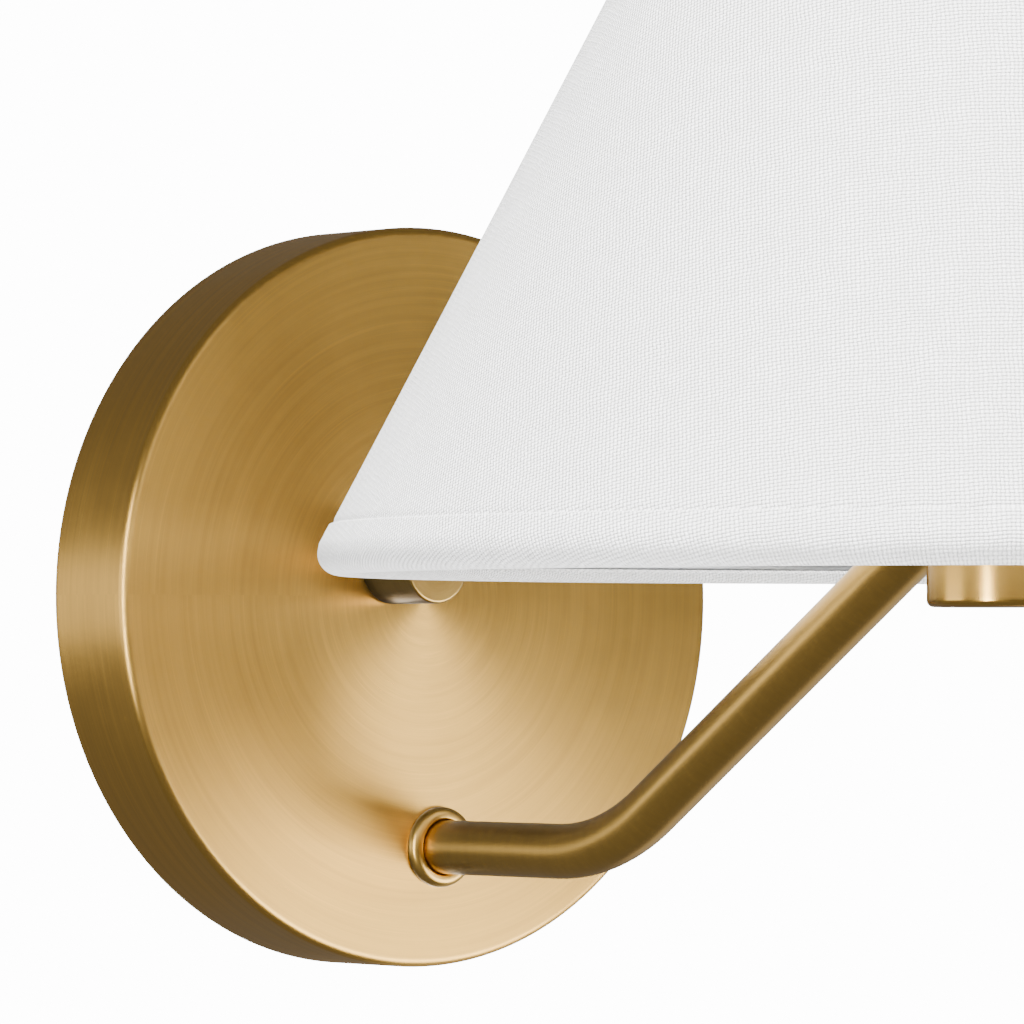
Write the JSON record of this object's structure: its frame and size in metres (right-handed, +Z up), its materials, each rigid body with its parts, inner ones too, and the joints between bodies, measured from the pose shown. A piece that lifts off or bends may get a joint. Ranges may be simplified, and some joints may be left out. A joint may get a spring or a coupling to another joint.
{
  "type": "wall sconce",
  "caption": "Wall light: round brushed brass back plate with a rotary switch knob, a bent tube arm that turns in a collar, and a tapered off-white linen shade",
  "frame": {"origin": "centre of the back plate on the wall plane", "axes": "+Z up, +Y into the wall, +X to the right when facing the wall; the arm and shade stand out along -Y"},
  "size_m": [0.2178, 0.2748, 0.1938],
  "materials": {
    "satin_brass": "brushed and clear lacquered",
    "raw_brass": "plain turned brass",
    "zinc_steel": "zinc plated",
    "green_screw": "green passivated screw",
    "black_plastic": "moulded phenolic, satin",
    "white_ceramic": "white glaze",
    "frosted_glass": "frosted inside",
    "linen": "plain linen weave, off white",
    "liner_paper": "smooth white lining",
    "black_lead": "black insulation",
    "white_lead": "white insulation",
    "splice_plastic": "orange moulded cap"
  },
  "bodies": {
    "wall_plate": {"back_plate": "satin_brass", "mounting_strap": "zinc_steel", "box_screw_left": "zinc_steel", "box_screw_right": "zinc_steel", "ground_screw": "green_screw", "rim_screw_top": "satin_brass", "rim_screw_bottom": "satin_brass", "switch_housing": "black_plastic", "switch_nut": "zinc_steel", "switch_lead_left": "black_lead", "switch_lead_right": "black_lead", "switch_splice_left": "splice_plastic", "switch_splice_right": "splice_plastic", "arm_collar": "satin_brass", "collar_washer": "zinc_steel", "collar_nut": "zinc_steel"},
    "knob": {"control_knob": "satin_brass", "switch_shaft": "raw_brass", "knob_screw": "zinc_steel"},
    "arm": {"arm_tube": "satin_brass", "arm_stop_ring": "raw_brass", "arm_lead_left": "black_lead", "arm_lead_right": "white_lead", "arm_splice_left": "splice_plastic", "arm_splice_right": "splice_plastic", "socket_cup": "satin_brass", "cup_screw": "zinc_steel", "socket_post": "zinc_steel", "socket_body": "white_ceramic", "screw_shell": "raw_brass", "centre_contact": "raw_brass", "bulb_base": "zinc_steel", "bulb_glass": "frosted_glass", "shade_ring_nut": "black_plastic"},
    "shade": {"shade_cover": "linen", "shade_liner": "liner_paper", "shade_top_wire": "zinc_steel", "shade_bottom_wire": "zinc_steel", "fitter_ring": "zinc_steel", "fitter_arm_1": "zinc_steel", "fitter_arm_2": "zinc_steel", "fitter_arm_3": "zinc_steel"}
  },
  "joints": [
    {"name": "knob_turn", "type": "hinge", "parent": "wall_plate", "child": "knob", "pos_m": [-0.0078, -0.027, 0.0054], "axis": [0, -1, 0], "continuous": true},
    {"name": "arm_swing", "type": "hinge", "parent": "wall_plate", "child": "arm", "pos_m": [0.0031, -0.016, -0.0442], "axis": [0, -1, 0], "range_deg": [-30, 30]},
    {"name": "shade_turn", "type": "hinge", "parent": "arm", "child": "shade", "pos_m": [0.0031, -0.1659, 0.04], "axis": [0, 0, 1], "continuous": true}
  ]
}
